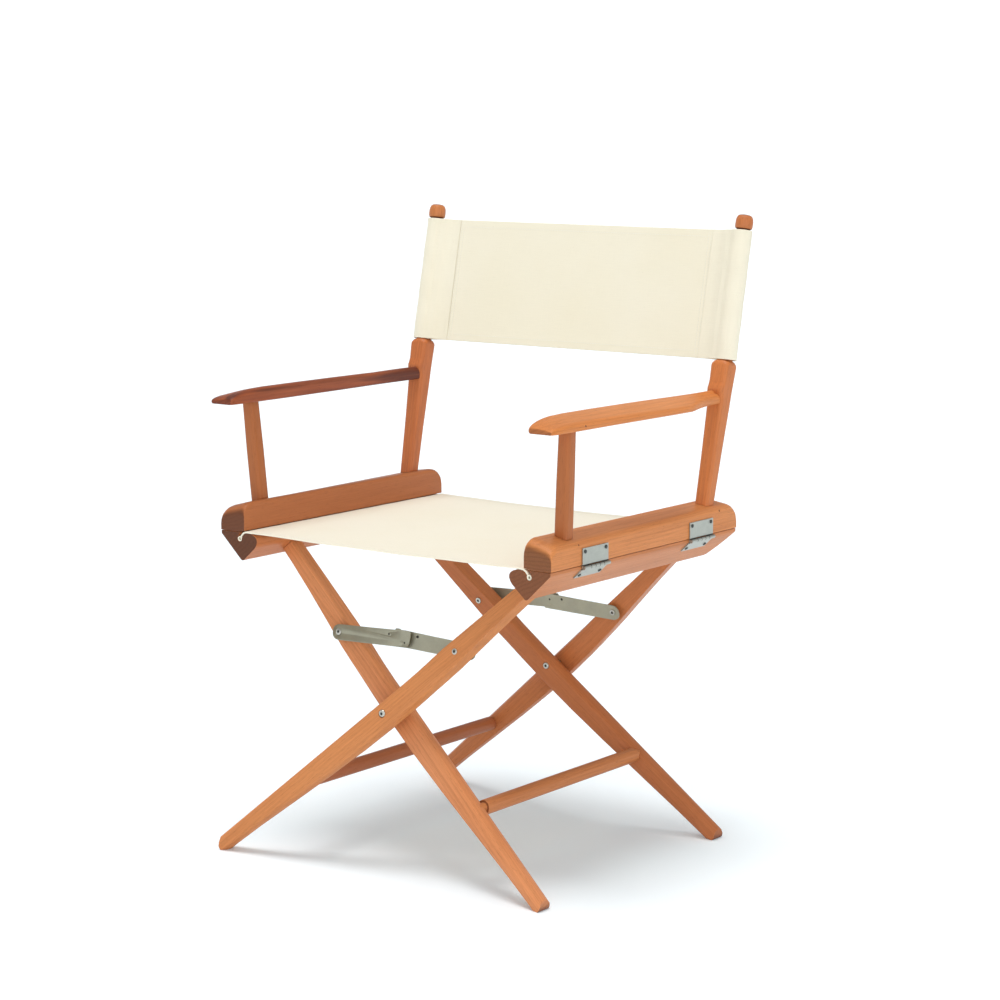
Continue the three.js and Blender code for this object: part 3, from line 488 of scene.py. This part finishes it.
def stitches(name, rows, radius=0.00034, length=0.0031, gap=0.0010, rise=0.7):
    """Rows of short rounded stitches. Each row is a list of points it follows, with the outward normal of the cloth."""
    bm = bmesh.new()
    for points, normal in rows:
        pts = [Vector(p) for p in points]
        nrm = Vector(normal).normalized()
        seg, acc = [], 0.0
        for a, b in zip(pts, pts[1:]):
            seg.append((acc, acc + (b - a).length, a, b))
            acc += (b - a).length
        s = gap
        while s + length < acc:
            def locate(q):
                for s0, s1, a, b in seg:
                    if q <= s1:
                        return a.lerp(b, (q - s0) / max(1e-9, s1 - s0))
                return seg[-1][3]
            a, b = locate(s), locate(s + length)
            d = (b - a).normalized()
            side = d.cross(nrm).normalized()
            rings = []
            for f, k, lift in ((0.0, 0.35, rise - 0.95), (0.12, 0.85, rise - 0.35), (0.5, 1.0, rise), (0.88, 0.85, rise - 0.35), (1.0, 0.35, rise - 0.95)):
                c = a.lerp(b, f) + nrm * radius * lift
                rings.append([bm.verts.new(c + (side * math.cos(q) * 1.25 + nrm * math.sin(q)) * radius * k)
                              for q in [math.pi * 2 * h / 6 for h in range(6)]])
            for r0, r1 in zip(rings, rings[1:]):
                for h in range(6):
                    bm.faces.new((r0[h], r0[(h + 1) % 6], r1[(h + 1) % 6], r1[h]))
            bm.faces.new(list(reversed(rings[0])))
            bm.faces.new(rings[-1])
            s += length + gap
    bmesh.ops.recalc_face_normals(bm, faces=bm.faces)
    me = bpy.data.meshes.new(name)
    bm.to_mesh(me)
    bm.free()
    me.polygons.foreach_set("use_smooth", np.ones(len(me.polygons), bool))
    o = bpy.data.objects.new(name, me)
    COL.objects.link(o)
    paint(o, thread_mat)
    return o


# seat: one cloth from rod to rod
SEAT_Y0, SEAT_Y1, SEAT_Z = -0.2217, 0.2105, 0.4417
ROD_X, ROD_Z = 0.244, 0.4319
SAG = 0.0020


def seat_z(x, y):
    q = min(1.0, abs(x) / 0.233)
    sag = SAG * (1 - q * q) ** 1.2
    w = noise.noise(Vector((x * 9.0, y * 5.0, 1.7))) * 0.00045 * (1 - q ** 4)
    pull = 0.0005 * math.cos(y * 95.0 + x * 6) * smoothstep(0.19, 0.228, abs(x)) * (1 - smoothstep(0.228, 0.236, abs(x)))
    edge = 0.0002 * (math.exp(-((y - SEAT_Y0) / 0.012) ** 2) + math.exp(-((y - SEAT_Y1) / 0.012) ** 2)) * math.sin(x * 46.0) * (1 - q ** 6)
    return SEAT_Z - sag + w + pull - edge


half = [(0.2424, 0.4341), (0.2407, 0.4366), (0.2386, 0.4390), (0.2362, 0.4407), (0.2330, 0.44155)]
loop = []
for i in range(11):
    a = math.radians(122 - i * 29.0)
    loop.append((ROD_X + 0.00285 * math.cos(a), ROD_Z + 0.00285 * math.sin(a)))
loop.append((0.2409, 0.4349))
loop.reverse()  # from the free end, round the rod, up to the main cloth
right = loop + half
flat_x = [0.2330 - 0.466 * i / 40 for i in range(1, 40)]
seat_path = right + [(x, SEAT_Z) for x in flat_x] + [(-x, z) for x, z in reversed(right)]
ys = []
y = SEAT_Y0
ys = [SEAT_Y0, SEAT_Y0 + 0.0012, SEAT_Y0 + 0.006, SEAT_Y0 + 0.0125, SEAT_Y0 + 0.0145] + \
     [SEAT_Y0 + 0.0145 + (SEAT_Y1 - SEAT_Y0 - 0.029) * i / 34 for i in range(1, 34)] + \
     [SEAT_Y1 - 0.0145, SEAT_Y1 - 0.0125, SEAT_Y1 - 0.006, SEAT_Y1 - 0.0012, SEAT_Y1]


def seat_place(p, s):
    x, z = p
    return (x, s, seat_z(x, s) if abs(x) < 0.2331 else z)


def seat_thick(p, s):
    if p in half or (-p[0], p[1]) in half:
        return 1.0  # where the rod's sleeve is sewn on, over the rail's lip
    if abs(p[0]) > 0.2395:
        return 0.64
    return 0.48 if (s < SEAT_Y0 + 0.013 or s > SEAT_Y1 - 0.013) else 0.38


seat, seat_width = strip("seat_cloth", seat_path, ys, seat_place, thickness=0.0024, thick=seat_thick)
paint(seat, seat_mat)
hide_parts("seat_canvas")
seat_rows = []
for yy in (SEAT_Y0 + 0.0105, SEAT_Y1 - 0.0105):
    for sgn in (1, -1):
        seat_rows.append(([(x, yy, seat_z(x, yy) + sgn * 0.00052) for x in [0.2325 - 0.465 * i / 60 for i in range(61)]], (0, 0, sgn)))
for xx in (0.2222, -0.2222):
    seat_rows.append(([(xx, q, seat_z(xx, q) - 0.00048) for q in [SEAT_Y0 + 0.003 + (SEAT_Y1 - SEAT_Y0 - 0.006) * i / 80 for i in range(81)]], (0, 0, -1)))
seat_thread = stitches("seat_stitching", seat_rows)

# back: a panel between two sleeves on the post necks
BASE_Y, BASE_Z = 0.1674 - 0.004, 0.480
lean = math.atan2(0.2476 - 0.1674, 0.8574 - 0.480)
BW = Vector((0, math.sin(lean), math.cos(lean)))
BV = Vector((0, math.cos(lean), -math.sin(lean)))
wB = Vector((0.0080, 0.0802, 0.3774)).normalized()
S0, S1 = 0.1966, 0.3742
NECK_X = 0.2574 + wB.x * (S0 + S1) / 2
ORIGIN = Vector((0, BASE_Y + wB.y * S0, BASE_Z + wB.z * S0))
HGT = S1 - S0


def back_point(u, v, s):
    return Vector((u, 0, 0)) + BV * v + BW * s + ORIGIN


def ripple(u, s):
    q = max(0.0, 1 - (abs(u) / 0.232) ** 6)
    w = noise.noise(Vector((u * 7.0, s * 9.0, 4.2))) * 0.00016 * q
    tension = 0.00006 * math.sin(s * 150.0 + u * 9.0) * smoothstep(0.14, 0.205, abs(u)) * q
    lip = 0.00008 * math.exp(-((s - HGT) / 0.01) ** 2) * math.sin(u * 38.0) * q + 0.00008 * math.exp(-(s / 0.01) ** 2) * math.sin(u * 33.0 + 1) * q
    return w + tension + lip


rows_s = [0, 0.0012, 0.006, 0.0118, 0.0136] + [0.0136 + (HGT - 0.0272) * i / 18 for i in range(1, 18)] + [HGT - 0.0136, HGT - 0.0118, HGT - 0.006, HGT - 0.0012, HGT]
PANEL_L, PANEL_R = -0.2435, 0.240
panel_path = [(PANEL_R - (PANEL_R - PANEL_L) * i / 60, 0.0) for i in range(61)]
panel, panel_w = strip("back_cloth", panel_path, rows_s, lambda p, s: back_point(p[0], ripple(p[0], s), s), thickness=0.0010,
                       thick=lambda p, s: 1.0 if (s < 0.0125 or s > HGT - 0.0125) else 0.7)
paint(panel, back_canvas_shaded_mat)


def sleeve_path(sx):
    pts = []
    front = [(0.2182, -0.00112), (0.2192, -0.00113), (0.2215, -0.00114), (0.2250, -0.00118), (0.2290, -0.00140), (0.2340, -0.00250), (0.2390, -0.00430), (0.2440, -0.00640)]
    pts += front
    rx, ry = 0.0151, 0.0119
    for i in range(19):
        a = math.radians(-142 + i * (284 / 18.0))
        pts.append((NECK_X + rx * math.cos(a), ry * math.sin(a)))
    pts += [(u, -v) for u, v in reversed(front)]
    return [(sx * u, v) for u, v in pts]


for side, sx, body in (("right", 1, "arm_right"), ("left", -1, "arm_left")):
    path = sleeve_path(sx)
    o, _ = strip("back_sleeve_" + side, path, rows_s,
                 lambda p, s: back_point(p[0], p[1] + (ripple(p[0], s) if abs(p[0]) < 0.232 else ripple(math.copysign(0.232, p[0]), s))
                                         + 0.0004 * math.sin(s * 120 + 1.3) * smoothstep(0.24, 0.26, abs(p[0])), s),
                 thickness=0.00036, uv0=(0.6 * sx, 0.0))
    paint(o, back_canvas_shaded_mat)
    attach(o, body)
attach(panel, "arm_right")

back_rows = []
steps = [0.002 + (HGT - 0.004) * i / 60 for i in range(61)]
for sx in (1, -1):
    for u in (0.2116, 0.2162):
        for face in (-1, 1):
            back_rows.append(([back_point(sx * u, face * 0.00050 + ripple(sx * u, s), s) for s in steps], BV * face))
for s in (0.0098, HGT - 0.0098):
    for face in (-1, 1):
        back_rows.append(([back_point(u, face * 0.00050 + ripple(u, s), s) for u in [0.2085 - 0.417 * i / 80 for i in range(81)]], BV * face))
back_thread = stitches("back_stitching", back_rows, radius=0.00026, rise=0.15)
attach(back_thread, "arm_right")
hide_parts("back_canvas")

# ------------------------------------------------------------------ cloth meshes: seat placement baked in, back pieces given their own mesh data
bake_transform(seat)
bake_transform(seat_thread)
for o in (panel, back_thread):
    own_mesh(o)

# ------------------------------------------------------------------ floor, light
def floor():
    m, t = new_material("studio_floor")
    P = t.node("ShaderNodeTexCoord").outputs["Object"]
    n = t.noise(P, scale=3.0, detail=2.0)
    t.principled(Base_Color=t.mix(t.range(n, 0.3, 0.7), (0.93, 0.965, 0.99), (0.945, 0.975, 1.0)), Roughness=0.9, Specular_IOR_Level=0.0,
                 Emission_Color=(0.30, 0.80, 1.0, 1.0), Emission_Strength=0.085)
    me = bpy.data.meshes.new("floor")
    R = 60.0
    me.from_pydata([(-R, -R, 0), (R, -R, 0), (R, R, 0), (-R, R, 0)], [], [(0, 1, 2, 3)])
    o = bpy.data.objects.new("floor", me)
    COL.objects.link(o)
    o.location.z = -0.0003
    me.materials.append(m)


floor()


def aim(name, kind, place, target=(0, 0, 0.4), **props):
    d = bpy.data.lights.new(name, kind)
    for k, v in props.items():
        setattr(d, k, v)
    o = bpy.data.objects.new(name, d)
    COL.objects.link(o)
    o.location = place
    o.rotation_mode = "QUATERNION"
    o.rotation_quaternion = (Vector(target) - Vector(place)).to_track_quat("-Z", "Y")
    return o


def direction(az, el, r=6.0):
    a, e = math.radians(az), math.radians(el)
    return (r * math.sin(a) * math.cos(e), -r * math.cos(a) * math.cos(e), r * math.sin(e))


KEY, FILL, SKY, BAND = 1.90, 1.0, 0.45, 1.10
aim("key", "SUN", direction(-10, 84), energy=KEY, angle=math.radians(31), color=(1.0, 1.0, 1.0))
aim("fill", "SUN", direction(48, 14), energy=FILL, angle=math.radians(60), color=(1.0, 1.0, 1.0))

world = bpy.data.worlds.new("studio")
scene.world = world
world.use_nodes = True
wt = Tree(world.node_tree)
out = wt.node("ShaderNodeOutputWorld")
bg = wt.node("ShaderNodeBackground")
wt.t.links.new(bg.outputs[0], out.inputs[0])
g = wt.node("ShaderNodeTexCoord").outputs["Generated"]
z = wt.dot(g, (0, 0, 1))
k = wt.range(z, 0.10, 0.30, BAND, SKY)
wt.put(bg.inputs["Strength"], k)
bg.inputs["Color"].default_value = (1.0, 1.0, 1.0, 1.0)
